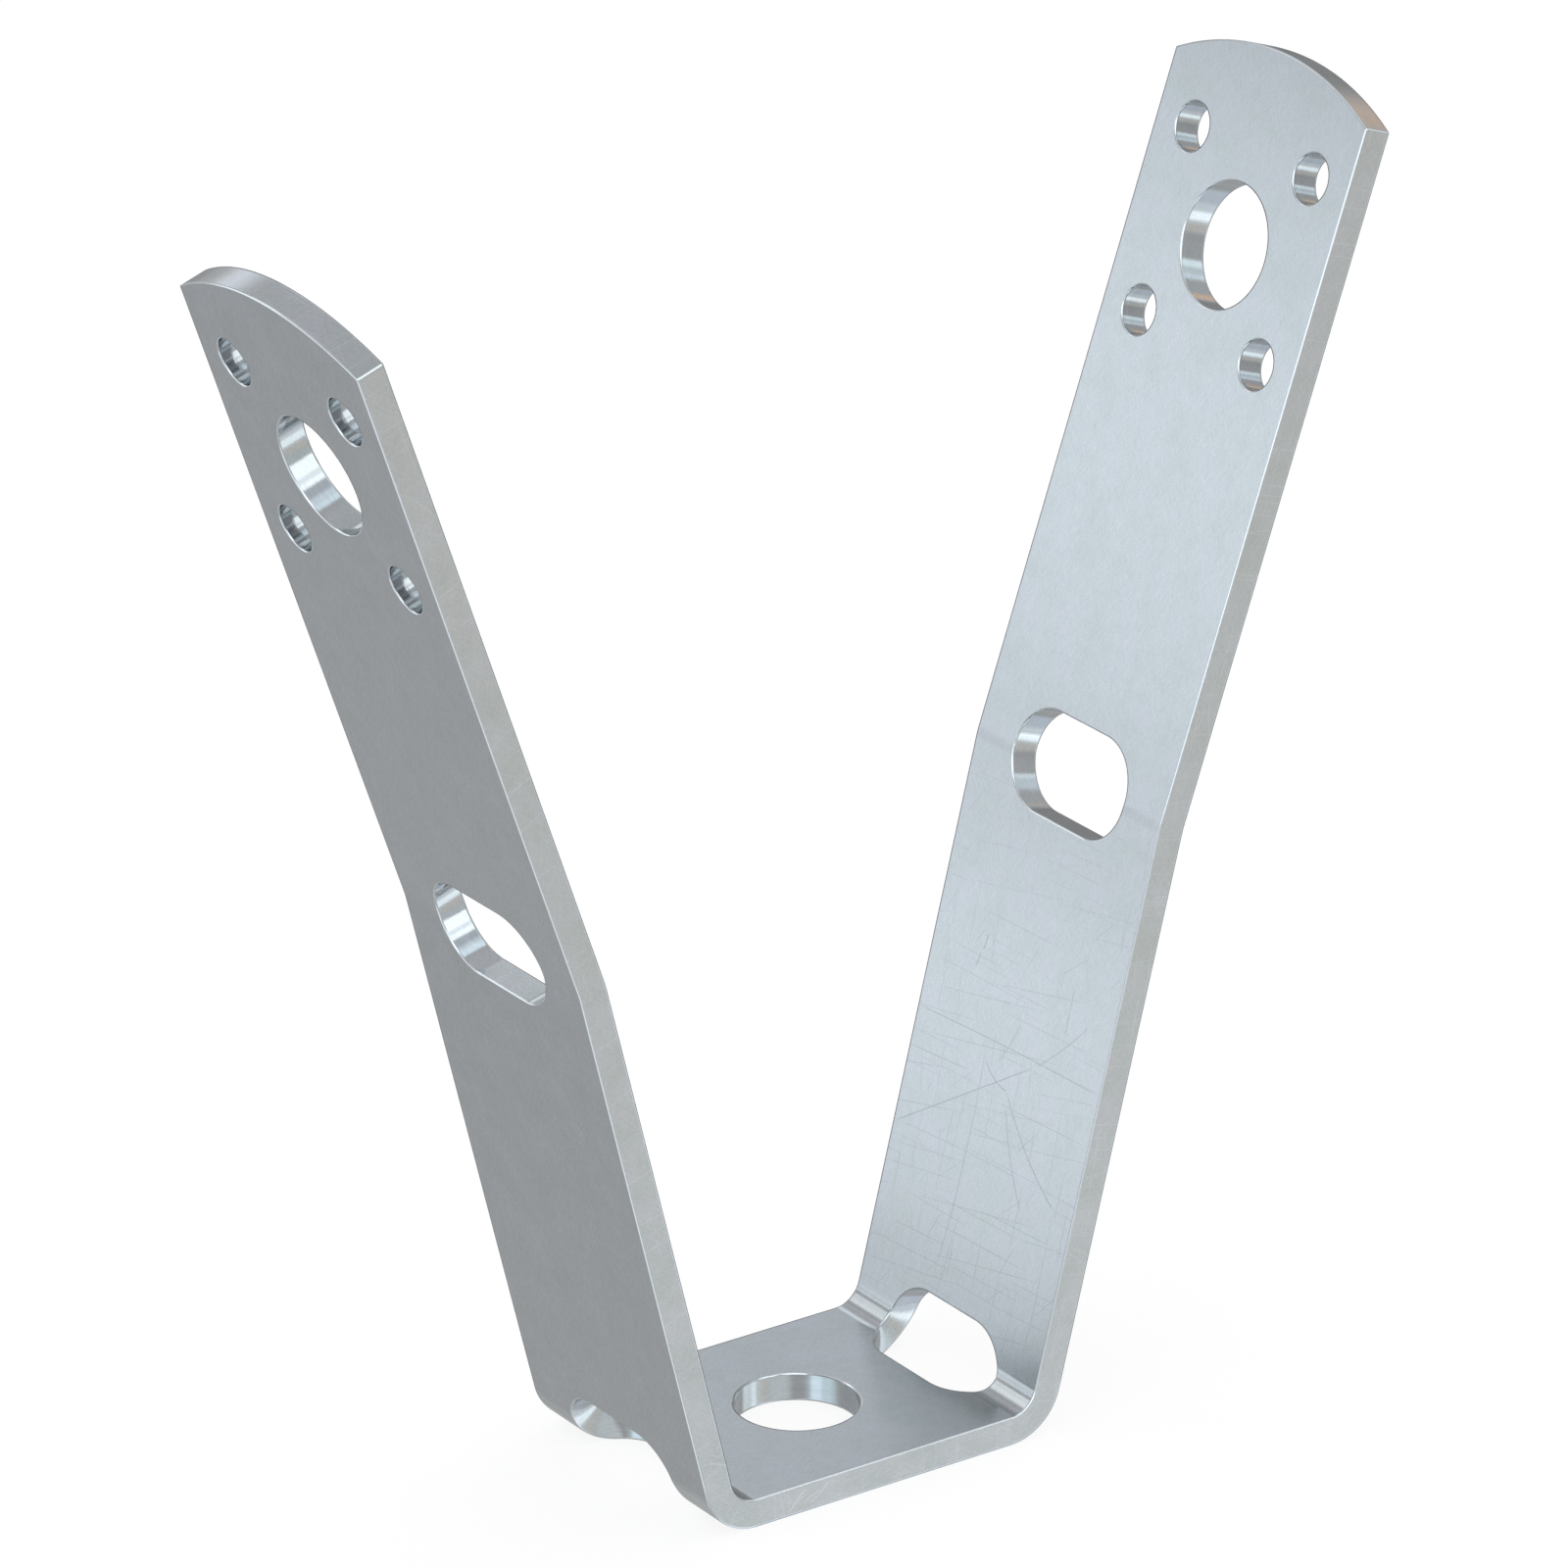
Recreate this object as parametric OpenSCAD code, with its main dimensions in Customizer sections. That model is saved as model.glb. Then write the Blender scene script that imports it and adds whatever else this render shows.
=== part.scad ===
// Splayed hanger bent from one flat steel strip. A flat base carries a rod, and two legs
// rise from it and lean outwards, with a second slight bend half way up.
// The origin is the middle of the base's underside. The legs stand apart along X,
// the strip's width lies along Y and +Z is up.

/* [Strip] */
// Width of the strip
strip_w = 40; // [38:0.5:60]
// Thickness of the strip
strip_t = 4; // [2:0.5:6]

/* [Bends] */
// Length of the flat stretch of the base, between the two base bends
base_flat = 40.5; // [34:0.5:90]
// Inner radius of the base bends
base_bend_r = 4; // [2:0.5:8]
// Lean of the lower legs from upright
lower_lean = 14.1; // [0:0.1:35]
// Straight length of a lower leg, between its two bends
lower_len = 76.8; // [40:0.1:160]
// Further lean that the upper legs take at the middle bends
extra_lean = 5.2; // [3:0.1:20]
// Radius of the middle bends, on the outer side of the legs
mid_bend_r = 12; // [4:0.5:30]
// Straight length of an upper leg, from its bend to the corners at its end
upper_len = 93.6; // [60:0.1:160]
// Height of the leg's rounded end above its corners
end_rise = 4.8; // [1:0.1:12]
// Depth of the layer that keeps its length in a bend, as a share of the thickness
neutral_depth = 0.33; // [0.3:0.01:0.5]

/* [Holes] */
// Diameter of the rod hole in the base
base_hole_d = 16.8; // [6:0.1:20]
// Diameter of the large hole near the end of each leg
end_hole_d = 16.8; // [6:0.1:20]
// Distance of the large hole's centre from the top of the leg's rounded end
end_hole_inset = 26.1; // [20:0.1:40]
// Diameter of the four screw holes round each large hole
screw_hole_d = 6.7; // [3:0.1:8]
// Distance between neighbouring screw holes, along the strip and across it
screw_pitch = 25; // [21:0.1:28]

/* [Slots] */
// Size of each slot along the strip
slot_h = 13.6; // [8:0.1:14]
// Size of each slot across the strip
slot_l = 24; // [16:0.1:30]
// Distance along the strip from the middle of a base bend up to the middle of its slot
base_slot_shift = 0.65; // [0:0.05:2]
// Distance along the strip from the middle of a middle bend up to the middle of its slot
mid_slot_shift = 0.7; // [0:0.05:3]

/* [Hidden] */
$fn = 96;
steel = [0.66, 0.69, 0.71];
slot_steps = 32;

// Overshoot of each cutter past the face that it goes through
past = 1;

// A bend's round face is this much larger than nominal, so that it crosses the flat faces
// beside it instead of just failing to touch them
hair = 0.0005;

// Angles above the horizontal of the lower and the upper leg
lower_rise = 90 - lower_lean;
upper_rise = lower_rise - extra_lean;

// Direction up a leg in the side view, and the direction square to it on its outer side
function along(rise) = [cos(rise), sin(rise)];
function away(rise) = [sin(rise), -cos(rise)];

// Length of the strip from the middle of the base to where each flat stretch starts or ends,
// along the layer that keeps its length
base_bend_neutral_r = base_bend_r + neutral_depth * strip_t;
mid_bend_neutral_r = mid_bend_r + neutral_depth * strip_t;
base_end = base_flat / 2;
lower_start = base_end + base_bend_neutral_r * lower_rise * PI / 180;
lower_end = lower_start + lower_len;
upper_start = lower_end + mid_bend_neutral_r * extra_lean * PI / 180;
tip = upper_start + upper_len + end_rise;

// Places of the holes and slots along the strip
end_hole_at = tip - end_hole_inset;
base_slot_at = (base_end + lower_start) / 2 + base_slot_shift;
mid_slot_at = (lower_end + upper_start) / 2 + mid_slot_shift;

// Side view, as [x, z], of the bends' centres and of the outer face beside them
base_bend_centre = [base_end, strip_t + base_bend_r];
lower_foot = base_bend_centre + (base_bend_r + strip_t) * away(lower_rise);
lower_head = lower_foot + lower_len * along(lower_rise);
mid_bend_centre = lower_head + mid_bend_r * away(lower_rise);
upper_foot = mid_bend_centre - mid_bend_r * away(upper_rise);

// Point in the side view for a place along the strip and a height above its outer face
function folded(at, height) =
    at <= base_end ? [at, height] :
    at <= lower_start ?
        let (turned = (at - base_end) / base_bend_neutral_r * 180 / PI)
        base_bend_centre + (base_bend_r + strip_t - height) * away(turned) :
    at <= lower_end ?
        lower_foot + (at - lower_start) * along(lower_rise) - height * away(lower_rise) :
    at <= upper_start ?
        let (turned = (at - lower_end) / mid_bend_neutral_r * 180 / PI)
        mid_bend_centre - (mid_bend_r + height) * away(lower_rise - turned) :
    upper_foot + (at - upper_start) * along(upper_rise) - height * away(upper_rise);

// Point where a face at some distance from a bend's centre would turn if the bend were sharp
function sharp_corner(centre, radius, rise_a, rise_b) =
    centre + radius / cos((rise_b - rise_a) / 2) * away((rise_a + rise_b) / 2);

// One leg's side view, up its outer face and down its inner one, with each bend still sharp
// on its outside, still filled to a straight line on its inside, and with an uncut end
leg_side = [
    sharp_corner(base_bend_centre, base_bend_r + strip_t, 0, lower_rise),
    lower_head,
    upper_foot,
    folded(tip + past, 0),
    folded(tip + past, strip_t),
    sharp_corner(mid_bend_centre, -mid_bend_r - strip_t, lower_rise, upper_rise),
    folded(lower_start, strip_t),
    folded(base_end, strip_t)
];

// What lies between the sharp outside of a bend and its round face
module bend_outside(centre, radius, rise_a, rise_b) {
    reach = radius + sign(radius) * past;
    difference() {
        polygon([
            centre,
            centre + reach * away(rise_a),
            sharp_corner(centre, reach, rise_a, rise_b),
            centre + reach * away(rise_b)
        ]);
        bend_inside(centre, abs(radius));
    }
}

module bend_inside(centre, radius) {
    translate(centre)
        circle(r = radius + hair);
}

module side_view() {
    difference() {
        polygon([
            for (point = leg_side) point,
            for (i = [len(leg_side) - 1:-1:0]) [-leg_side[i][0], leg_side[i][1]]
        ]);
        for (side = [0, 1])
            mirror([side, 0]) {
                bend_outside(base_bend_centre, base_bend_r + strip_t, 0, lower_rise);
                bend_inside(base_bend_centre, base_bend_r);
                bend_outside(mid_bend_centre, -mid_bend_r - strip_t, lower_rise, upper_rise);
                bend_inside(mid_bend_centre, mid_bend_r);
            }
    }
}

module bent_strip() {
    rotate([90, 0, 0])
        linear_extrude(strip_w, center = true)
            side_view();
}

// Cuts a flat outline through an upper leg. The outline's X runs up the leg from where the
// leg turns straight, and its Y across the leg
module through_upper_leg() {
    translate([upper_foot[0], 0, upper_foot[1]])
        rotate([0, -upper_rise, 0])
            translate([0, 0, -past])
                linear_extrude(strip_t + 2 * past)
                    children();
}

module end_holes() {
    circle(d = end_hole_d);
    for (up = [-1, 1], across = [-1, 1])
        translate([up, across] * screw_pitch / 2)
            circle(d = screw_hole_d);
}

// What rounds the end of a leg: all that lies past an arc through its corners and its top
module end_trim() {
    arc_r = (pow(strip_w / 2, 2) + pow(end_rise, 2)) / (2 * end_rise);
    top = upper_len + end_rise;
    difference() {
        translate([upper_len - past, -strip_w / 2 - past])
            square([end_rise + 3 * past, strip_w + 2 * past]);
        translate([top - arc_r, 0])
            circle(r = arc_r);
    }
}

// Half of a slot's length at a distance from its middle line, for ends that are half circles
function slot_half(off) = (slot_l - slot_h) / 2 + sqrt(max(0, pow(slot_h / 2, 2) - off * off));

// What a slot punched in the flat strip takes out once the strip is bent: its walls stay
// square to the strip's faces, so they fan out round a bend
module folded_slot(at) {
    offs = [for (i = [0:slot_steps]) -slot_h / 2 * cos(180 * i / slot_steps)];
    points = [
        for (off = offs)
            let (
                low = folded(at + off, -past),
                high = folded(at + off, strip_t + past),
                half = slot_half(off)
            )
            for (p = [[low, -half], [low, half], [high, half], [high, -half]])
                [p[0][0], p[1], p[0][1]]
    ];
    last = 4 * slot_steps;
    walls = [
        for (i = [0:slot_steps - 1], side = [0:3])
            let (a = 4 * i + side, b = 4 * i + (side + 1) % 4)
            for (face = [[a, a + 4, b], [b, a + 4, b + 4]])
                face
    ];
    caps = [
        [0, 1, 2], [0, 2, 3],
        [last, last + 2, last + 1], [last, last + 3, last + 2]
    ];
    polyhedron(points = points, faces = concat(caps, walls), convexity = 4);
}

// Both legs, or what is cut from both, from what is drawn for the one on the +X side
module both_sides() {
    for (turn = [0, 180])
        rotate([0, 0, turn])
            children();
}

module blank() {
    difference() {
        bent_strip();
        both_sides()
            through_upper_leg()
                end_trim();
    }
}

module hanger() {
    color(steel)
        difference() {
            blank();
            translate([0, 0, -past])
                cylinder(d = base_hole_d, h = strip_t + 2 * past);
            both_sides()
                through_upper_leg()
                    translate([end_hole_at - upper_start, 0])
                        end_holes();
            both_sides()
                folded_slot(base_slot_at);
            both_sides()
                folded_slot(mid_slot_at);
        }
}

hanger();
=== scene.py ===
import math
from collections import namedtuple

import bpy
from mathutils import Matrix, Vector
from mathutils.geometry import delaunay_2d_cdt


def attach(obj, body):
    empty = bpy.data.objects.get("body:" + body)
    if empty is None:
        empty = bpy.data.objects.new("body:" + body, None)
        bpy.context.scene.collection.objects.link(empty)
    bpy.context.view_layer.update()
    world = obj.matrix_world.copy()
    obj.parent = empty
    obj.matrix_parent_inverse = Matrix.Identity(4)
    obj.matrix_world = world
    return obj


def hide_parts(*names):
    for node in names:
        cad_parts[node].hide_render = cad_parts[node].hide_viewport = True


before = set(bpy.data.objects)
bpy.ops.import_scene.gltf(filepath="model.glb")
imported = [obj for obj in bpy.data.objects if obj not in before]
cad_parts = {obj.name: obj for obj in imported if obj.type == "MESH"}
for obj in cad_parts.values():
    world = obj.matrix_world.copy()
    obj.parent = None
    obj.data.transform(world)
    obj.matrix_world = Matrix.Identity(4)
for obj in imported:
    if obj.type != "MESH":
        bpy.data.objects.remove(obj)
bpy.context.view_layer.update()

# Driving sizes of the bent strip, in millimetres and degrees
STRIP_W = 40.0
STRIP_T = 4.0
BASE_FLAT = 40.5
BASE_BEND_R = 4.0
LOWER_LEAN = 14.1
LOWER_LEN = 76.8
EXTRA_LEAN = 5.2
MID_BEND_R = 12.0
UPPER_LEN = 93.6
END_RISE = 4.8
NEUTRAL_DEPTH = 0.33
BASE_HOLE_D = 16.8
END_HOLE_D = 16.8
END_HOLE_INSET = 26.1
SCREW_HOLE_D = 6.7
SCREW_PITCH = 25.0
SLOT_H = 13.6
SLOT_L = 24.0
BASE_SLOT_SHIFT = 0.65
MID_SLOT_SHIFT = 0.7

# Width of the worn rim round every face, how far it is rounded from a sharp edge at 0 to a
# quarter circle at 1, and the radius of the corners at the legs' ends
RIM_W = 0.26
RIM_WEAR = 0.25
CORNER_R = 0.3

# How finely the mesh follows its curves
RIM_STEPS = 6
HOLE_STEPS = 96
SCREW_HOLE_STEPS = 56
ARC_STEPS = 64
CORNER_STEPS = 5
BASE_BEND_STEPS = 30
MID_BEND_STEPS = 6
SIDE_PITCH = 6.0

# Points nearer than this to a line lie on it
NEAR = 0.001

# Nearest that an even point of an outline comes to a station, in millimetres
STATION_GAP = 0.3

# Nearest that an even point of a hole comes to a crossed station, as a share of the even step,
# and how far from a hole's middle it is still crossed, as a share of its rim's radius
CROSSING_GAP = 0.4
CROSSING_REACH = 0.995

# How much faster the rim's normals turn near its middle than at its edges
TURN_POWER = 1.8

# A millimetre, in metres
MM = 0.001

# Where the flat stretches and the bends start, along the layer that keeps its length
LOWER_RISE = math.radians(90 - LOWER_LEAN)
UPPER_RISE = LOWER_RISE - math.radians(EXTRA_LEAN)
BASE_BEND_NEUTRAL_R = BASE_BEND_R + NEUTRAL_DEPTH * STRIP_T
MID_BEND_NEUTRAL_R = MID_BEND_R + NEUTRAL_DEPTH * STRIP_T
BASE_END = BASE_FLAT / 2
LOWER_START = BASE_END + BASE_BEND_NEUTRAL_R * LOWER_RISE
LOWER_END = LOWER_START + LOWER_LEN
UPPER_START = LOWER_END + MID_BEND_NEUTRAL_R * math.radians(EXTRA_LEAN)
TIP = UPPER_START + UPPER_LEN + END_RISE

END_HOLE_AT = TIP - END_HOLE_INSET
BASE_SLOT_AT = (BASE_END + LOWER_START) / 2 + BASE_SLOT_SHIFT
MID_SLOT_AT = (LOWER_END + UPPER_START) / 2 + MID_SLOT_SHIFT


# Folding the flat strip

def along(rise):
    return Vector((math.cos(rise), math.sin(rise)))


def away(rise):
    return Vector((math.sin(rise), -math.cos(rise)))


BASE_BEND_CENTRE = Vector((BASE_END, STRIP_T + BASE_BEND_R))
LOWER_FOOT = BASE_BEND_CENTRE + (BASE_BEND_R + STRIP_T) * away(LOWER_RISE)
LOWER_HEAD = LOWER_FOOT + LOWER_LEN * along(LOWER_RISE)
MID_BEND_CENTRE = LOWER_HEAD + MID_BEND_R * away(LOWER_RISE)
UPPER_FOOT = MID_BEND_CENTRE - MID_BEND_R * away(UPPER_RISE)


def folded_side(at, height):
    """Point in the side view, slope and stretch, for a place up the right half of the strip."""
    if at <= BASE_END:
        return Vector((at, height)), 0.0, 1.0
    if at <= LOWER_START:
        rise = (at - BASE_END) / BASE_BEND_NEUTRAL_R
        radius = BASE_BEND_R + STRIP_T - height
        return BASE_BEND_CENTRE + radius * away(rise), rise, radius / BASE_BEND_NEUTRAL_R
    if at <= LOWER_END:
        point = LOWER_FOOT + (at - LOWER_START) * along(LOWER_RISE)
        return point - height * away(LOWER_RISE), LOWER_RISE, 1.0
    if at <= UPPER_START:
        rise = LOWER_RISE - (at - LOWER_END) / MID_BEND_NEUTRAL_R
        radius = MID_BEND_R + height
        return MID_BEND_CENTRE - radius * away(rise), rise, radius / MID_BEND_NEUTRAL_R
    point = UPPER_FOOT + (at - UPPER_START) * along(UPPER_RISE)
    return point - height * away(UPPER_RISE), UPPER_RISE, 1.0


def folded(at, across, height, flat_normal):
    """Place and normal in the row frame, in metres, for a point of the flat strip."""
    side = 1 if at >= 0 else -1
    point, rise, stretch = folded_side(abs(at), height)
    place = Vector((side * point.x, across, point.y)) * MM
    up_strip = Vector((math.cos(rise), 0, side * math.sin(rise)))
    inward = Vector((-side * math.sin(rise), 0, math.cos(rise)))
    normal = (
        flat_normal.x * up_strip
        + flat_normal.y * stretch * Vector((0, 1, 0))
        + flat_normal.z * inward
    )
    return place, normal.normalized()


# Outlines of the flat strip and of its holes. Each is a loop of points, each with the direction
# out of the metal there, and goes anticlockwise round the strip and clockwise round a hole

def spread(start, end, steps):
    return [start + (end - start) * i / steps for i in range(steps + 1)]


def bend_stations():
    """Places along the strip where the mesh is creased to follow the bends."""
    right = spread(BASE_END, LOWER_START, BASE_BEND_STEPS)
    right += spread(LOWER_END, UPPER_START, MID_BEND_STEPS)
    return sorted([-at for at in right] + right)


STATIONS = bend_stations()


def half_turn_angles(centre, radius, steps):
    """Angles of half a circle from one end of the strip's length round to the other, with one
    at each station that the circle crosses at the level of the faces."""
    reach = radius + RIM_W
    crossings = [
        math.acos((at - centre) / reach)
        for at in STATIONS
        if abs(at - centre) < CROSSING_REACH * reach
    ]
    gap = CROSSING_GAP * math.pi / steps
    even = [
        angle
        for angle in spread(0, math.pi, steps)
        if all(abs(angle - crossing) > gap for crossing in crossings)
    ]
    ends = {0.0, math.pi}
    return sorted(set(even) | set(crossings) | ends)


def slot_loop(centre, height, length, steps):
    """Loop round a slot across the strip with half circles for ends, or round a round hole."""
    radius = height / 2
    half_flat = (length - height) / 2
    angles = half_turn_angles(centre, radius, steps)
    loop = []
    for side in (1, -1):
        for angle in angles if side == 1 else reversed(angles):
            outward = Vector((math.cos(angle), side * math.sin(angle)))
            loop.append((Vector((centre, side * half_flat)) + radius * outward, -outward))
    if half_flat == 0:
        last = len(angles)
        del loop[2 * last - 1]
        del loop[last]
    return loop[::-1]


def round_loop(centre, across, diameter, steps):
    loop = slot_loop(centre, diameter, diameter, steps // 2)
    shift = Vector((0, across))
    return [(point + shift, outward) for point, outward in loop]


def outline_loop():
    arc_r = ((STRIP_W / 2) ** 2 + END_RISE ** 2) / (2 * END_RISE)
    arc_centre = TIP - arc_r
    corner_across = STRIP_W / 2 - CORNER_R
    corner_turn = math.asin(corner_across / (arc_r - CORNER_R))
    corner_at = arc_centre + (arc_r - CORNER_R) * math.cos(corner_turn)
    right_end = []
    for turn in spread(-math.pi / 2, -corner_turn, CORNER_STEPS):
        outward = Vector((math.cos(turn), math.sin(turn)))
        right_end.append((Vector((corner_at, -corner_across)) + CORNER_R * outward, outward))
    for turn in spread(-corner_turn, corner_turn, ARC_STEPS)[1:-1]:
        outward = Vector((math.cos(turn), math.sin(turn)))
        right_end.append((Vector((arc_centre, 0)) + arc_r * outward, outward))
    for turn in spread(corner_turn, math.pi / 2, CORNER_STEPS):
        outward = Vector((math.cos(turn), math.sin(turn)))
        right_end.append((Vector((corner_at, corner_across)) + CORNER_R * outward, outward))
    steps = round(corner_at / SIDE_PITCH)
    even = [
        at
        for at in spread(-corner_at, corner_at, 2 * steps)[1:-1]
        if all(abs(at - station) > STATION_GAP for station in STATIONS)
    ]
    up_side = [
        (Vector((at, STRIP_W / 2)), Vector((0, 1)))
        for at in sorted(even + STATIONS, reverse=True)
    ]
    half = right_end + up_side
    return half + [(-point, -outward) for point, outward in half]


def all_loops():
    """Every loop, with the kind of wall that stands on it."""
    loops = [("outside", outline_loop()), ("hole", round_loop(0, 0, BASE_HOLE_D, HOLE_STEPS))]
    for side in (1, -1):
        for at in (BASE_SLOT_AT, MID_SLOT_AT):
            loops.append(("hole", slot_loop(side * at, SLOT_H, SLOT_L, HOLE_STEPS // 2)))
        loops.append(("hole", round_loop(side * END_HOLE_AT, 0, END_HOLE_D, HOLE_STEPS)))
        for up in (-1, 1):
            for across in (-1, 1):
                at = side * END_HOLE_AT + up * SCREW_PITCH / 2
                hole = round_loop(at, across * SCREW_PITCH / 2, SCREW_HOLE_D, SCREW_HOLE_STEPS)
                loops.append(("screw hole", hole))
    return loops


# Meshing the flat strip

def station_edges(points):
    """Creases across the strip, between the outline points that lie on a station."""
    edges = []
    for station in STATIONS:
        crossed = sorted(
            (point.y, i) for i, point in enumerate(points) if abs(point.x - station) < NEAR
        )
        for low, high in zip(crossed[0::2], crossed[1::2]):
            edges.append((low[1], high[1]))
    return edges


def inside(point, points, rims):
    """Whether a point lies inside the outline's rim and outside the rims of the holes."""
    crossings = 0
    for i, j in rims:
        a = points[i]
        b = points[j]
        if (a.y > point.y) != (b.y > point.y):
            if point.x < a.x + (point.y - a.y) / (b.y - a.y) * (b.x - a.x):
                crossings += 1
    return crossings % 2 == 1


def flat_triangles(points, rims):
    """Triangles of the flat face between the rims, with creases at the stations."""
    edges = rims + station_edges(points)
    made = delaunay_2d_cdt(points, edges, [], 0, NEAR / 10, True)
    vertices, _, faces, origins = made[:4]
    if len(vertices) != len(points) or any(len(origin) != 1 for origin in origins):
        raise ValueError("the flat pattern's loops meet each other")
    triangles = []
    for face in faces:
        centre = sum((vertices[i] for i in face), Vector((0, 0))) / 3
        if inside(centre, points, rims):
            triangles.append([origins[i][0] for i in face])
    return triangles


def edge_profile():
    """How far in from the edge, how high and how far turned from the face each ring of points
    lies, from the inner face down the cut wall to the outer face."""
    top = []
    for step in spread(-1, 1, RIM_STEPS):
        sharp_inset = max(0, -step)
        sharp_drop = max(0, step)
        turn = math.pi / 4 * (1 + math.copysign(abs(step) ** TURN_POWER, step))
        inset = sharp_inset + RIM_WEAR * (1 - math.sin(turn) - sharp_inset)
        drop = sharp_drop + RIM_WEAR * (1 - math.cos(turn) - sharp_drop)
        top.append((RIM_W * inset, STRIP_T - RIM_W * drop, turn))
    bottom = [(inset, STRIP_T - height, math.pi - turn) for inset, height, turn in top]
    return top + bottom[::-1]


def is_corner(kind, outward):
    """Whether a point lies on the small round corner at either end of a leg's arc, where the
    direction out of the metal turns from along the strip to straight across it."""
    return kind == "outside" and 0.5 < abs(outward.y) < 0.99


def bent_strip_mesh(name):
    rims = []
    rim_points = []
    kinds = []
    for kind, loop in all_loops():
        first = len(rim_points)
        count = len(loop)
        rim_points += loop
        kinds += [kind] * count
        rims += [(first + i, first + (i + 1) % count) for i in range(count)]
    on_face = [point - RIM_W * outward for point, outward in rim_points]
    triangles = flat_triangles(on_face, rims)

    profile = edge_profile()
    places = []
    normals = []
    strip_coordinates = []
    shares = {"cut": [], "rim": [], "hole": [], "screw_hole": []}
    for inset, height, turn in profile:
        for (point, outward), kind in zip(rim_points, kinds):
            flat = point - inset * outward
            flat_normal = Vector((
                math.sin(turn) * outward.x, math.sin(turn) * outward.y, math.cos(turn)
            ))
            place, normal = folded(flat.x, flat.y, height, flat_normal)
            places.append(place)
            normals.append(normal)
            strip_coordinates += [flat.x, flat.y, height]
            wall = math.sin(turn)
            shares["cut"].append(wall)
            shares["rim"].append(max(wall * is_corner(kind, outward), abs(math.sin(2 * turn))))
            shares["hole"].append(wall * (kind != "outside"))
            shares["screw_hole"].append(wall * (kind == "screw hole"))

    ring = len(rim_points)
    last = ring * (len(profile) - 1)
    faces = [tuple(triangle) for triangle in triangles]
    faces += [tuple(last + i for i in reversed(triangle)) for triangle in triangles]
    for level in range(len(profile) - 1):
        upper = level * ring
        lower = upper + ring
        faces += [(upper + a, lower + a, lower + b, upper + b) for a, b in rims]

    mesh = bpy.data.meshes.new(name)
    mesh.from_pydata(places, [], faces)
    mesh.shade_smooth()
    mesh.normals_split_custom_set_from_vertices(normals)
    strip = mesh.attributes.new("strip_mm", "FLOAT_VECTOR", "POINT")
    strip.data.foreach_set("vector", strip_coordinates)
    for share, values in shares.items():
        mesh.attributes.new(share, "FLOAT", "POINT").data.foreach_set("value", values)
    return mesh


bent_strip = bpy.data.objects.new("bent_strip", bent_strip_mesh("bent_strip"))
bpy.context.scene.collection.objects.link(bent_strip)
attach(bent_strip, "root")
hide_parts("hanger")


# Camera, at the photograph's viewing angle: its place in metres, its turn from +Y towards +X,
# its dip below level, and its lens and sensor in millimetres

CAMERA_AT = Vector((-0.66278, -0.94501, 0.58075))
CAMERA_TURN = math.radians(34.961)
CAMERA_DIP = math.radians(22.951)
CAMERA_LENS = 225.42
CAMERA_SENSOR = 36

camera_data = bpy.data.cameras.new("camera")
camera_data.lens = CAMERA_LENS
camera_data.sensor_width = CAMERA_SENSOR
camera = bpy.data.objects.new("camera", camera_data)
camera.location = CAMERA_AT
forward = Vector((
    math.sin(CAMERA_TURN) * math.cos(CAMERA_DIP),
    math.cos(CAMERA_TURN) * math.cos(CAMERA_DIP),
    -math.sin(CAMERA_DIP),
))
camera.rotation_euler = forward.to_track_quat("-Z", "Y").to_euler()
bpy.context.scene.collection.objects.link(camera)
bpy.context.scene.camera = camera


# Building shaders

def add_node(tree, kind, inputs=None, **settings):
    """New node of a shader, with its settings, and each input given a value or a link."""
    node = tree.nodes.new(kind)
    for name, value in settings.items():
        setattr(node, name, value)
    for socket, value in (inputs or {}).items():
        if isinstance(value, bpy.types.NodeSocket):
            tree.links.new(value, node.inputs[socket])
        else:
            node.inputs[socket].default_value = value
    return node


def math_node(tree, operation, *values):
    inputs = dict(enumerate(values))
    return add_node(tree, "ShaderNodeMath", inputs, operation=operation).outputs[0]


def ramp(tree, value, low, high):
    """Output that rises smoothly from 0 to 1 as a value goes from low to high."""
    return add_node(tree, "ShaderNodeMapRange", {
        "Value": value, "From Min": low, "From Max": high
    }, interpolation_type="SMOOTHSTEP").outputs[0]


def placed_at(tree, place, location, degrees, scale):
    """Place measured from a location, along turned axes, in units of a scale."""
    return add_node(tree, "ShaderNodeMapping", {
        "Vector": place,
        "Location": (*location, 0),
        "Rotation": (0, 0, math.radians(degrees)),
        "Scale": (*scale, 1),
    }, vector_type="TEXTURE").outputs[0]


def noise(tree, place, size, detail=1.0):
    """Noise from 0 to 1, mostly near 0.5, with features of about a size in the place's units."""
    return add_node(tree, "ShaderNodeTexNoise", {
        "Vector": place, "Scale": 1 / size, "Detail": detail
    }, noise_dimensions="2D").outputs[0]


def separate(tree, vector):
    return add_node(tree, "ShaderNodeSeparateXYZ", {0: vector}).outputs


def largest(tree, values):
    """Output that is the largest of several."""
    most = values[0]
    for value in values[1:]:
        most = math_node(tree, "MAXIMUM", most, value)
    return most


# Steel

# Two shades that the zinc drifts between, and the mottle at which it is all of either
GREENISH_STEEL = (0.547, 0.585, 0.599)
BLUISH_STEEL = (0.552, 0.579, 0.606)
ZINC_DRIFT = (0.36, 0.64)

# How bright the steel is before its texture, and how much each texture adds
PLAIN_SHADE = 0.77
GRAIN_SHADE = 0.12
BRUSHED_SHADE = 0.1
MOTTLE_SHADE = 0.14
STREAK_SHADE = 0.6

# How much the scratches take away or add, and how much painted shade on the screw holes' walls
# and along the middle bends takes away
DARK_MARK_SHADE = -0.17
PALE_MARK_SHADE = 0.13
SCREW_HOLE_PAINTED_SHADE = -0.14
MID_BEND_PAINTED_SHADE = -0.075

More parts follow.
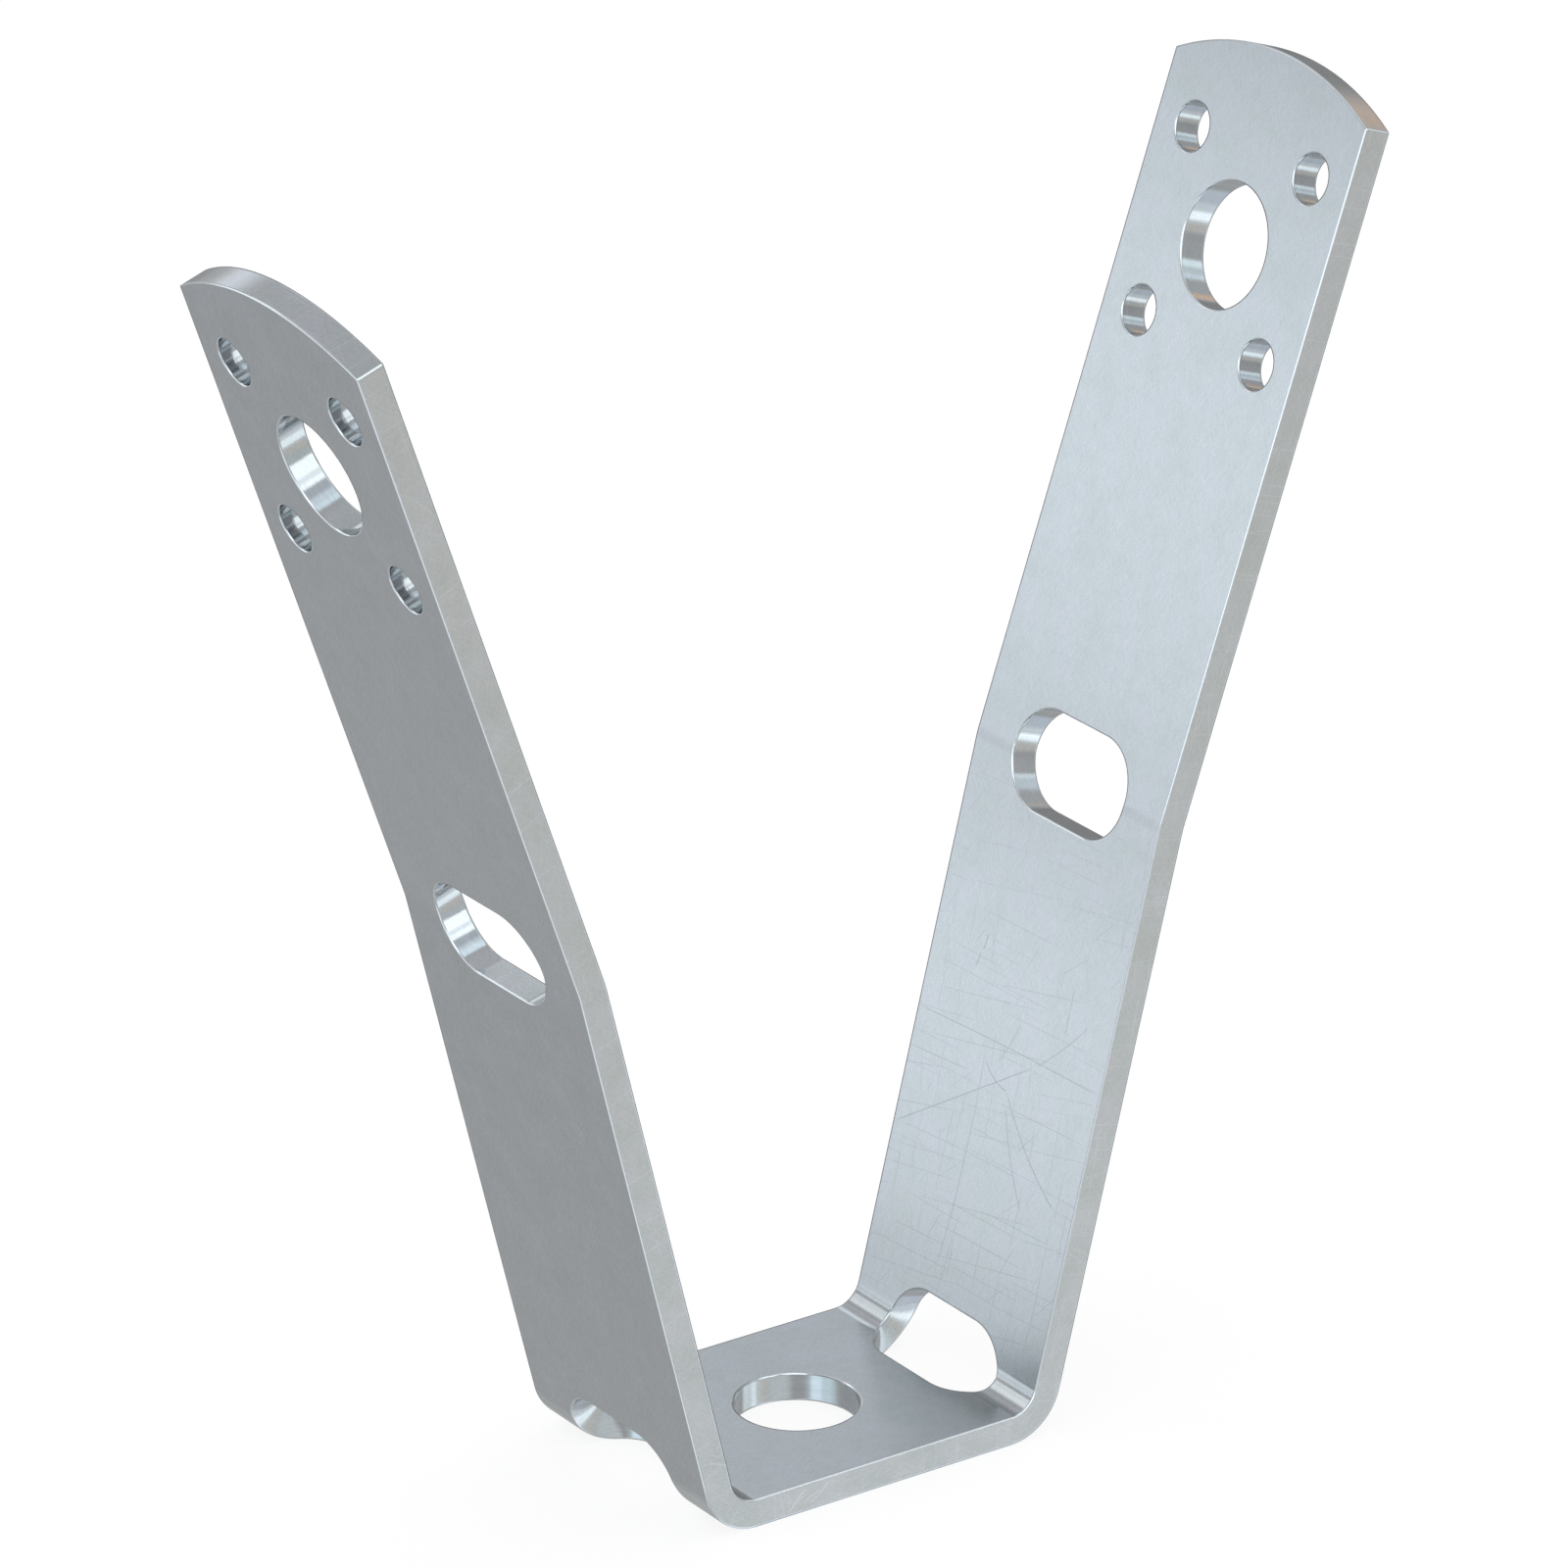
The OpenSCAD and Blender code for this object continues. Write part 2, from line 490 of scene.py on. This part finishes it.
# Painted highlight on the rims, how much brighter they are than the faces, and painted shade
# along the far side, how much duller
NEAR_RIM_PAINTED_HIGHLIGHT = 0.4
FAR_RIM_PAINTED_SHADE = -0.1

# Sizes of the textures' features, in millimetres, and the two directions of the brushing. The
# brushing's sizes are along and across its direction, and the streaks' along and across the strip
GRAIN_SIZE = 0.3
BRUSHED_SIZE = (2.4, 0.35)
BRUSHED_DEGREES = 38
CROSS_BRUSHED_DEGREES = -30
MOTTLE_SIZE = 6
STREAK_SIZE = (1, 80)

# Roughness of each kind of surface, and what the mottle and the dark scratches add to it
FACE_ROUGHNESS = 0.25
EDGE_ROUGHNESS = 0.2
HOLE_ROUGHNESS = 0.1
BEND_ROUGHNESS = 0.16
RIM_ROUGHNESS = 0.12
MOTTLE_ROUGHNESS = 0.06
MARK_ROUGHNESS = 0.1

# Strength of the grain's bump, and its depth in millimetres
GRAIN_BUMP = 0.4
GRAIN_DEPTH = 0.01

# Where one kind of surface passes into the next, in millimetres: heights of the inner side,
# places across the strip of the near edge and of the far rims, each from where it starts to
# where it is complete, and the length of the passage into a base bend
INNER_SIDE = (STRIP_T - 0.4, STRIP_T - 0.1)
NEAR_SIDE = (0.5 - STRIP_W / 2, 0.1 - STRIP_W / 2)
FAR_SIDE = (STRIP_W / 2 - 0.7, STRIP_W / 2 - 0.3)
BEND_BLEND = 0.6

# Distances from the middle of a middle bend at which the painted dark line along it starts, and
# is complete
MID_BEND_LINE = (0.9, 0.2)

# How bright the inner face is at places up the strip, as painted light and shade: darker at the
# bends and the legs' ends
INNER_FACE_PAINTED_SHADES = [
    (0, 0.97),
    (BASE_END, 0.97),
    (LOWER_START, 0.82),
    (45, 0.96),
    (70, 1.02),
    (MID_SLOT_AT, 0.9),
    (125, 0.965),
    (155, 0.995),
    (180, 0.915),
    (TIP, 0.76),
]

# A long scratch: both its ends and how far its middle bows off the straight line between them,
# in millimetres, and how deep it is
Scratch = namedtuple("Scratch", "start end bow depth")

# Scratches on the right leg's inner face, by their places up the strip and across it
LONG_SCRATCHES = [
    Scratch((50, 20), (67, -6), 0, 1.1),
    Scratch((67, -6), (76, -15), -0.4, 0.8),
    Scratch((66.5, 20), (68, -20), 0.3, 0.9),
    Scratch((64.5, 4), (62, -1.5), -0.6, 1.3),
    Scratch((62, -1.5), (50.5, -16), -0.9, 1.2),
    Scratch((60, -2), (48, -9.5), -0.6, 1.0),
    Scratch((61, 20), (62, 7), 0, 0.7),
    Scratch((71.5, -1.5), (65, 1.5), 0.2, 0.8),
    Scratch((66, 4.5), (35, 5), 0.8, 0.8),
    Scratch((79.5, -10.5), (73, -10.5), 0, 0.9),
    Scratch((80.5, 9), (78, 9.3), 0.2, 1.6),
    Scratch((77.5, 9.6), (75.5, 10), 0, 1.4),
    Scratch((50.5, 19), (52, -8), 0.3, 0.5),
]

# Pale scratches on the near edge, by their places along the strip and up from the outer face
EDGE_SCRATCHES = [
    Scratch((-15.2, 0.5), (-12.4, 3.3), 0.2, 1.7),
    Scratch((-14.6, 0.9), (-12.9, 2.4), 0, 0.9),
    Scratch((-12.9, 1.3), (-10.4, 2.4), 0.1, 1.2),
    Scratch((-11.9, 1.0), (-9.0, 3.3), -0.2, 1.3),
    Scratch((-32.3, 1.4), (-30.6, 3.9), 0.1, 1.3),
    Scratch((-33.4, 1.9), (-32.0, 3.6), 0, 0.6),
    Scratch((-29.0, 0.6), (-24.6, 2.6), 0.2, 0.6),
    Scratch((45.0, 0.8), (46.4, 3.6), 0, 0.7),
    Scratch((46.2, 0.6), (47.2, 3.2), 0.1, 0.6),
    Scratch((-182.0, 0.4), (-176.5, 3.6), 0.3, 0.6),
]

# How soon a long scratch reaches its depth from either end, from 0 for at once to 0.25 for only
# at its middle
SCRATCH_FADE = 0.08

# Families of fine scratches: direction from the strip's length, length and spacing in
# millimetres, the share of places that have one, and where the family's pattern starts
Family = namedtuple("Family", "degrees length spacing share start")

FINE_SCRATCHES = [
    Family(1, 18, 2.0, 0.8, 1),
    Family(92, 26, 1.3, 0.9, 62),
    Family(101, 34, 2.4, 0.8, 93),
    Family(12, 10, 3.0, 0.6, 124),
    Family(-38, 9, 5.0, 0.4, 155),
]

# Distances from a scratch's middle line at which it has faded out, in millimetres
SCRATCH_W = 0.14
EDGE_SCRATCH_W = 0.2
FINE_W = 0.1

# How dark the fine scratches are where the inner faces are worn most, and elsewhere, and the
# places below and above the wear, up the strip, each from where there is none to where it is
# full
WORN_DEPTH = 0.8
FRESH_DEPTH = 0.12
WEAR_FROM_BELOW = (22, 40)
WEAR_FROM_ABOVE = (140, 50)


def fine_scratches(tree, surface, family):
    """Thin straight marks in about one direction, at most one in each cell of a pattern. Each
    one has its own tilt, and ends between a fifth and half of a cell from its middle."""
    size = (family.length, family.spacing)
    place = placed_at(tree, surface, (family.start, family.start), family.degrees, size)
    cells = add_node(tree, "ShaderNodeTexVoronoi", {
        "Vector": place, "Scale": 1, "Randomness": 1
    }, voronoi_dimensions="2D").outputs
    off = separate(tree, add_node(tree, "ShaderNodeVectorMath", {
        0: place, 1: cells["Position"]
    }, operation="SUBTRACT").outputs[0])
    chance = separate(tree, cells["Color"])
    tilt = math_node(tree, "SUBTRACT", chance["X"], 0.5)
    off_line = math_node(tree, "ABSOLUTE", math_node(
        tree, "MULTIPLY_ADD", off["X"], tilt, off["Y"]
    ))
    line = ramp(tree, off_line, FINE_W / family.spacing, 0)
    from_middle = math_node(tree, "ABSOLUTE", off["X"])
    ends = math_node(tree, "MULTIPLY_ADD", chance["Y"], -0.3, 0.5)
    within = ramp(tree, math_node(tree, "DIVIDE", from_middle, ends), 1, 0.4)
    present = ramp(tree, chance["Z"], 1 - family.share, 1)
    return math_node(tree, "MULTIPLY", math_node(tree, "MULTIPLY", line, within), present)


def long_scratch(tree, place, scratch, width):
    """Output that is 0 off a long scratch and rises to its depth along its middle line."""
    start = Vector(scratch.start)
    line = Vector(scratch.end) - start
    degrees = math.degrees(math.atan2(line.y, line.x))
    parts = separate(tree, placed_at(tree, place, start, degrees, (line.length, 1)))
    arch = math_node(tree, "MULTIPLY", parts["X"], math_node(tree, "SUBTRACT", 1, parts["X"]))
    off_line = math_node(tree, "ABSOLUTE", math_node(
        tree, "MULTIPLY_ADD", arch, -4 * scratch.bow, parts["Y"]
    ))
    line_share = ramp(tree, off_line, width, 0)
    depth = math_node(tree, "MULTIPLY", ramp(tree, arch, 0, SCRATCH_FADE), scratch.depth)
    return math_node(tree, "MULTIPLY", line_share, depth)


def long_scratches(tree, place, scratches, width):
    return largest(tree, [long_scratch(tree, place, scratch, width) for scratch in scratches])


def point_share(tree, name):
    return add_node(tree, "ShaderNodeAttribute", attribute_name=name).outputs["Fac"]


# Curve of painted light and shade on the inner face, up the strip
def inner_face_painted_curve(tree, up_strip):
    curve = add_node(tree, "ShaderNodeFloatCurve", {
        "Value": math_node(tree, "DIVIDE", up_strip, TIP)
    })
    points = curve.mapping.curves[0].points
    shares = [(at / TIP, shade) for at, shade in INNER_FACE_PAINTED_SHADES]
    points[0].location = shares[0]
    points[1].location = shares[-1]
    for share in shares[1:-1]:
        points.new(*share)
    curve.mapping.update()
    return curve.outputs[0]


def sum_of(tree, value, parts):
    """A value plus several outputs, each times its amount."""
    for output, amount in parts:
        value = math_node(tree, "MULTIPLY_ADD", output, amount, value)
    return value


def dark_marks(tree, place, fine, up_strip, inner):
    """Scratches that show dark: fine ones on the worn inner faces and the long ones."""
    worn = math_node(
        tree, "MULTIPLY",
        ramp(tree, up_strip, *WEAR_FROM_BELOW),
        ramp(tree, up_strip, *WEAR_FROM_ABOVE),
    )
    depth = math_node(tree, "MULTIPLY_ADD", worn, WORN_DEPTH - FRESH_DEPTH, FRESH_DEPTH)
    fine_dark = math_node(tree, "MULTIPLY", fine, math_node(tree, "MULTIPLY", inner, depth))
    long = long_scratches(tree, place, LONG_SCRATCHES, SCRATCH_W)
    return math_node(tree, "MAXIMUM", fine_dark, math_node(tree, "MULTIPLY", long, inner))


def pale_marks(tree, parts, fine, cut):
    """Scratches that show light: fine ones on every edge, and the scuffs on the near one."""
    along_edge = add_node(tree, "ShaderNodeCombineXYZ", {0: parts["X"], 1: parts["Z"]}).outputs[0]
    near_edge = math_node(tree, "MULTIPLY", cut, ramp(tree, parts["Y"], *NEAR_SIDE))
    scuffs = long_scratches(tree, along_edge, EDGE_SCRATCHES, EDGE_SCRATCH_W)
    return math_node(
        tree, "MAXIMUM",
        math_node(tree, "MULTIPLY", fine, cut),
        math_node(tree, "MULTIPLY", near_edge, scuffs),
    )


def inner_face_painted_shade(tree, up_strip, inner):
    """Factor of painted shade on the inner face up the strip, darker at the bends and the legs'
    ends, with a painted dark line along the middle bends.
    """
    # A painted dark line along the middle of each middle bend
    from_mid_bend = math_node(
        tree, "ABSOLUTE", math_node(tree, "SUBTRACT", up_strip, (LOWER_END + UPPER_START) / 2)
    )
    line = math_node(
        tree, "MULTIPLY", ramp(tree, from_mid_bend, *MID_BEND_LINE), MID_BEND_PAINTED_SHADE
    )
    shade = math_node(tree, "ADD", inner_face_painted_curve(tree, up_strip), line)
    return math_node(tree, "MULTIPLY_ADD", math_node(tree, "SUBTRACT", shade, 1), inner, 1)


def make_steel():
    steel = bpy.data.materials.new("zinc_coated_steel")
    steel.use_nodes = True
    tree = steel.node_tree
    place = add_node(tree, "ShaderNodeAttribute", attribute_name="strip_mm").outputs["Vector"]
    parts = separate(tree, place)
    up_strip = math_node(tree, "ABSOLUTE", parts["X"])
    cut = point_share(tree, "cut")
    rim = point_share(tree, "rim")
    hole = point_share(tree, "hole")
    screw_hole = point_share(tree, "screw_hole")
    on_face = math_node(tree, "SUBTRACT", 1, cut)
    inner = math_node(tree, "MULTIPLY", on_face, ramp(tree, parts["Z"], *INNER_SIDE))
    half_blend = BEND_BLEND / 2
    in_bend = math_node(
        tree, "MULTIPLY",
        ramp(tree, up_strip, BASE_END - half_blend, BASE_END + half_blend),
        ramp(tree, up_strip, LOWER_START + half_blend, LOWER_START - half_blend),
    )
    on_bend = math_node(tree, "MULTIPLY", in_bend, on_face)

    # Flat coordinates for the textures: along and across each face, or along and down each edge
    round_edge = add_node(tree, "ShaderNodeCombineXYZ", {
        0: math_node(tree, "ADD", parts["X"], parts["Y"]), 1: parts["Z"]
    }).outputs[0]
    surface = add_node(tree, "ShaderNodeMix", {
        "Factor": math_node(tree, "ROUND", cut), "A": place, "B": round_edge
    }, data_type="VECTOR").outputs["Result"]

    # Grain, a faint crossed brushing, a soft mottle, and streaks along the base bends, where
    # the steel was stretched
    grain = noise(tree, surface, GRAIN_SIZE)
    brushing = placed_at(tree, surface, (0, 0), BRUSHED_DEGREES, BRUSHED_SIZE)
    brushed = noise(tree, brushing, size=1)
    cross_brushing = placed_at(tree, surface, (9, 9), CROSS_BRUSHED_DEGREES, BRUSHED_SIZE)
    cross_brushed = noise(tree, cross_brushing, size=1)
    mottle = noise(tree, surface, MOTTLE_SIZE, detail=3)
    streaks = noise(tree, placed_at(tree, place, (4, 4), 0, STREAK_SIZE), size=1)
    streaked = math_node(tree, "MULTIPLY", on_bend, math_node(tree, "SUBTRACT", streaks, 0.5))

    # Scratches, dark on the legs' inner faces and light on the edges
    fine = largest(tree, [fine_scratches(tree, surface, family) for family in FINE_SCRATCHES])
    dark = dark_marks(tree, place, fine, up_strip, inner)
    pale = pale_marks(tree, parts, fine, cut)

    # Rims: painted highlight, brighter than the faces, and painted shade, duller along the far
    # side
    rim_painted_light = math_node(
        tree, "MULTIPLY_ADD", ramp(tree, parts["Y"], *FAR_SIDE), FAR_RIM_PAINTED_SHADE - NEAR_RIM_PAINTED_HIGHLIGHT, NEAR_RIM_PAINTED_HIGHLIGHT
    )

    # Brightness of the steel: its plain level, textures and scratches, with painted highlight and
    # shade on the rims, painted shade in the screw holes and painted shade up the inner faces
    shade = math_node(tree, "MULTIPLY", inner_face_painted_shade(tree, up_strip, inner), sum_of(
        tree, PLAIN_SHADE, (
            (grain, GRAIN_SHADE),
            (brushed, BRUSHED_SHADE),
            (cross_brushed, BRUSHED_SHADE),
            (mottle, MOTTLE_SHADE),
            (streaked, STREAK_SHADE),
            (dark, DARK_MARK_SHADE),
            (pale, PALE_MARK_SHADE),
            (rim, rim_painted_light),
            (screw_hole, SCREW_HOLE_PAINTED_SHADE),
        )
    ))
    zinc = add_node(tree, "ShaderNodeMix", {
        "Factor": ramp(tree, mottle, *ZINC_DRIFT),
        "A": (*GREENISH_STEEL, 1),
        "B": (*BLUISH_STEEL, 1),
    }, data_type="RGBA").outputs["Result"]
    colour = add_node(tree, "ShaderNodeVectorMath", {
        0: zinc, "Scale": shade
    }, operation="SCALE").outputs[0]

    roughness = sum_of(tree, FACE_ROUGHNESS - MOTTLE_ROUGHNESS / 2, (
        (mottle, MOTTLE_ROUGHNESS),
        (cut, EDGE_ROUGHNESS - FACE_ROUGHNESS),
        (hole, HOLE_ROUGHNESS - EDGE_ROUGHNESS),
        (on_bend, BEND_ROUGHNESS - FACE_ROUGHNESS),
        (rim, (RIM_ROUGHNESS - EDGE_ROUGHNESS) / 2),
        (dark, MARK_ROUGHNESS),
    ))
    bump = add_node(tree, "ShaderNodeBump", {
        "Height": grain, "Strength": GRAIN_BUMP, "Distance": GRAIN_DEPTH * MM
    })

    shader = tree.nodes["Principled BSDF"]
    shader.inputs["Metallic"].default_value = 1
    tree.links.new(colour, shader.inputs["Base Color"])
    tree.links.new(roughness, shader.inputs["Roughness"])
    tree.links.new(bump.outputs[0], shader.inputs["Normal"])
    return steel


bent_strip.data.materials.append(make_steel())


# Studio. The camera sees a white background. What the metal reflects is a grey room with soft
# lights, each an ellipse on the sphere of directions round the object

FLOOR_SIDE_COLOUR = (0.5, 0.5, 0.5)
CEILING_SIDE_COLOUR = (0.56, 0.56, 0.56)

# Sine of the elevation, below and above level, between which the one colour turns into the other
HORIZON_BLEND = 0.3

# Direction of a light's middle and half its size, in degrees, the share of its half size over
# which it fades on either side of its edge, and its colour. A light covers those before it
SoftLight = namedtuple("SoftLight", "azimuth elevation half_width half_height softness colour")

SOFT_LIGHTS = [
    # Darker corner behind on the right, and the small warm light beside it
    SoftLight(45, -5, 18, 24, 0.3, (0.3, 0.3, 0.3)),
    SoftLight(37, -41, 8, 7, 0.5, (0.43, 0.43, 0.44)),
    SoftLight(40, -12, 8, 9, 0.4, (0.24, 0.24, 0.24)),
    SoftLight(26, -13, 9, 13, 0.3, (0.34, 0.34, 0.35)),
    SoftLight(62.5, 21.5, 6, 5.5, 0.4, (0.84, 0.63, 0.49)),
    # Dimmer floor behind on the left
    SoftLight(-15, -21, 36, 8, 0.4, (0.43, 0.44, 0.46)),
    # Large light on the left, across from the right leg, and the ones above and beside it
    SoftLight(-86, 7, 26, 11, 0.3, (1.2, 1.27, 1.33)),
    SoftLight(-42, 2, 24, 15, 0.12, (1.125, 1.19, 1.24)),
    SoftLight(-26, 36, 10.5, 6, 0.25, (1.3, 1.33, 1.35)),
    SoftLight(-35, 28, 5, 4.5, 0.4, (1.45, 1.5, 1.52)),
    # Lights behind, low and high
    SoftLight(-18, 61, 14, 11, 0.4, (1.0, 1.02, 1.05)),
    SoftLight(9, 62, 13, 25, 0.3, (0.61, 0.61, 0.63)),
    SoftLight(17, 18.5, 4.1, 7.5, 0.45, (1.1, 1.14, 1.2)),
    SoftLight(26, 35, 6, 5, 0.4, (1.15, 1.2, 1.25)),
    SoftLight(36, 26, 7, 6, 0.4, (0.73, 0.77, 0.82)),
    # Key light in front on the right with a band across it, dim ones above and below it, and
    # two high up
    SoftLight(165, 56, 24, 26, 0.3, (0.62, 0.66, 0.7)),
    SoftLight(157, -9, 8, 8, 0.4, (0.66, 0.7, 0.72)),
    SoftLight(163, 21, 16.5, 22.5, 0.12, (1.66, 1.73, 1.73)),
    SoftLight(167, 28, 16, 2.5, 0.5, (1.25, 1.35, 1.38)),
    SoftLight(173, 71, 12, 10, 0.4, (0.93, 1.03, 1.1)),
    SoftLight(148, 76, 7, 7, 0.3, (1.1, 1.25, 1.33)),
    # Lights on the right, with a brighter spot at each end of the lower one
    SoftLight(113, 30, 15, 7, 0.4, (0.8, 0.88, 0.92)),
    SoftLight(101, 29.5, 4, 4, 0.5, (0.95, 1.06, 1.13)),
    SoftLight(120.5, 21.5, 5.5, 5, 0.5, (1.15, 1.28, 1.33)),
    SoftLight(126, 50, 12, 9, 0.3, (1.0, 1.03, 1.05)),
    # Lights from below, in front and on the right, with a bright bar
    SoftLight(148, -26, 18, 10, 0.4, (0.74, 0.71, 0.665)),
    SoftLight(120, -26, 15, 8, 0.4, (0.92, 0.98, 1.02)),
    SoftLight(106, -20, 8, 6, 0.4, (1.05, 1.12, 1.16)),
    SoftLight(141, -46, 18, 12, 0.35, (0.9, 0.95, 1.0)),
    SoftLight(130, -28, 5, 4, 0.5, (1.15, 1.25, 1.3)),
    SoftLight(143, -38, 6.5, 4.5, 0.6, (1.6, 1.7, 1.75)),
    SoftLight(134, -35, 7, 5.5, 0.4, (1.34, 1.44, 1.48)),
    SoftLight(110, -67, 14, 12, 0.4, (0.72, 0.78, 0.86)),
    SoftLight(-177, -20, 20, 12, 0.4, (0.76, 0.79, 0.8)),
    # Lights in front on the left, from below and level with the object
    SoftLight(-97, -27, 23, 14, 0.5, (0.84, 0.97, 1.04)),
    SoftLight(-109, -27, 9, 12, 0.5, (1.07, 1.22, 1.32)),
    SoftLight(-125, -47, 14, 10, 0.3, (0.98, 1.01, 1.04)),
    # Lights on the camera's side, which only the rims show
    SoftLight(-127, -8, 24, 8, 0.4, (0.78, 0.8, 0.83)),
    SoftLight(-149, 40, 21, 18, 0.3, (1.35, 1.42, 1.47)),
    SoftLight(-133, 21, 32, 17, 0.25, (1.5, 1.58, 1.65)),
]


def direction(azimuth, elevation):
    """Direction for an azimuth from +Y towards +X and an elevation, in degrees."""
    turn = math.radians(azimuth)
    rise = math.radians(elevation)
    return Vector((
        math.sin(turn) * math.cos(rise), math.cos(turn) * math.cos(rise), math.sin(rise)
    ))


def light_share(tree, towards, light):
    """Output that is 1 towards a soft light and falls to 0 past its edge."""
    middle = direction(light.azimuth, light.elevation)
    sideways = direction(light.azimuth + 90, 0)
    upward = sideways.cross(middle)
    turned = Matrix((sideways, upward, middle)).transposed().to_euler()
    half_width = math.radians(light.half_width)
    half_height = math.radians(light.half_height)
    placed = add_node(tree, "ShaderNodeMapping", {
        "Vector": towards,
        "Location": middle,
        "Rotation": turned,
        "Scale": (half_width, half_height, max(half_width, half_height)),
    }, vector_type="TEXTURE")
    off = add_node(tree, "ShaderNodeVectorMath", {0: placed.outputs[0]}, operation="LENGTH")
    return ramp(tree, off.outputs["Value"], 1 + light.softness, 1 - light.softness)


def studio_colour(tree):
    """Output with the colour of the room and its soft lights towards each direction."""
    towards = add_node(tree, "ShaderNodeTexCoord").outputs["Generated"]
    height = separate(tree, towards)["Z"]
    colour = add_node(tree, "ShaderNodeMix", {
        "Factor": ramp(tree, height, -HORIZON_BLEND, HORIZON_BLEND),
        "A": (*FLOOR_SIDE_COLOUR, 1),
        "B": (*CEILING_SIDE_COLOUR, 1),
    }, data_type="RGBA").outputs["Result"]
    for light in SOFT_LIGHTS:
        colour = add_node(tree, "ShaderNodeMix", {
            "Factor": light_share(tree, towards, light),
            "A": colour,
            "B": (*light.colour, 1),
        }, data_type="RGBA").outputs["Result"]
    return colour


def reflected_share(tree):
    """Output that is 1 for what is seen in a reflection or through a clear piece."""
    path = add_node(tree, "ShaderNodeLightPath").outputs
    return math_node(tree, "MAXIMUM", path["Is Glossy Ray"], path["Is Transmission Ray"])


def make_studio():
    world = bpy.data.worlds.new("studio")
    world.use_nodes = True
    world.cycles.sampling_method = "NONE"
    tree = world.node_tree
    tree.nodes.clear()
    surroundings = add_node(tree, "ShaderNodeMixShader", {
        0: reflected_share(tree),
        1: add_node(tree, "ShaderNodeBackground", {"Color": (1, 1, 1, 1)}).outputs[0],
        2: add_node(tree, "ShaderNodeBackground", {"Color": studio_colour(tree)}).outputs[0],
    })
    add_node(tree, "ShaderNodeOutputWorld", {"Surface": surroundings.outputs[0]})
    bpy.context.scene.world = world


make_studio()


# Floor: white, with the object's soft shadow on it. Reflections pass through it to the studio,
# and so does a view from below

# Width of the floor in metres, how bright it glows to the camera, and the grey of its paint
FLOOR_SIZE = 12.0
FLOOR_GLOW = 0.85
FLOOR_PAINT = 0.17


def make_floor():
    half = FLOOR_SIZE / 2
    mesh = bpy.data.meshes.new("floor")
    corners = [(-half, -half, 0), (half, -half, 0), (half, half, 0), (-half, half, 0)]
    mesh.from_pydata(corners, [], [(0, 1, 2, 3)])
    floor = bpy.data.objects.new("floor", mesh)
    bpy.context.scene.collection.objects.link(floor)

    paint = bpy.data.materials.new("floor")
    paint.use_nodes = True
    tree = paint.node_tree
    tree.nodes.clear()
    path = add_node(tree, "ShaderNodeLightPath").outputs
    glow = math_node(tree, "MULTIPLY", path["Is Camera Ray"], FLOOR_GLOW)
    grey = (FLOOR_PAINT, FLOOR_PAINT, FLOOR_PAINT, 1)
    lit = add_node(tree, "ShaderNodeAddShader", {
        0: add_node(tree, "ShaderNodeEmission", {"Strength": glow}).outputs[0],
        1: add_node(tree, "ShaderNodeBsdfDiffuse", {"Color": grey}).outputs[0],
    })
    from_below = add_node(tree, "ShaderNodeNewGeometry").outputs["Backfacing"]
    surface = add_node(tree, "ShaderNodeMixShader", {
        0: math_node(tree, "MAXIMUM", reflected_share(tree), from_below),
        1: lit.outputs[0],
        2: add_node(tree, "ShaderNodeBsdfTransparent").outputs[0],
    })
    add_node(tree, "ShaderNodeOutputMaterial", {"Surface": surface.outputs[0]})
    mesh.materials.append(paint)


make_floor()


# View

bpy.context.scene.view_settings.view_transform = "Standard"
